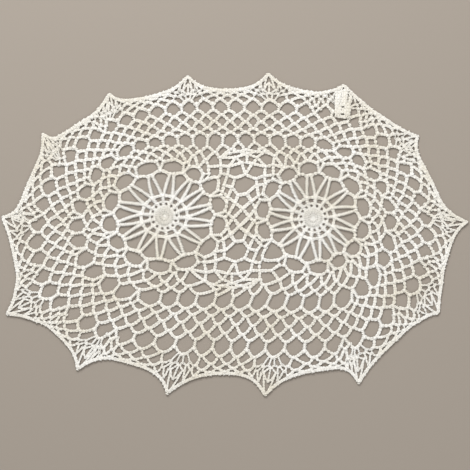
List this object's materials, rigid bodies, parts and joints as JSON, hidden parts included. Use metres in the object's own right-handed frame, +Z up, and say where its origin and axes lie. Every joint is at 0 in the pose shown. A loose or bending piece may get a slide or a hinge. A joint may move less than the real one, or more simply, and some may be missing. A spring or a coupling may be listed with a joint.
{
  "type": "lace doily",
  "caption": "Oval crocheted lace doily lying flat, with two round medallions, bands of diamond net and a rim of pointed scallops, for a table top.",
  "frame": {"origin": "on the surface the doily lies on, under the middle of its outline's bounding box", "axes": "+X along the length of the oval, to the right of the picture, +Y across it, away from the viewer, +Z up from the table"},
  "size_m": [0.422, 0.2942, 0.0039],
  "materials": {
    "cotton": "matt crocheted cotton"
  },
  "bodies": {
    "root": {"doily": "cotton"}
  },
  "joints": []
}
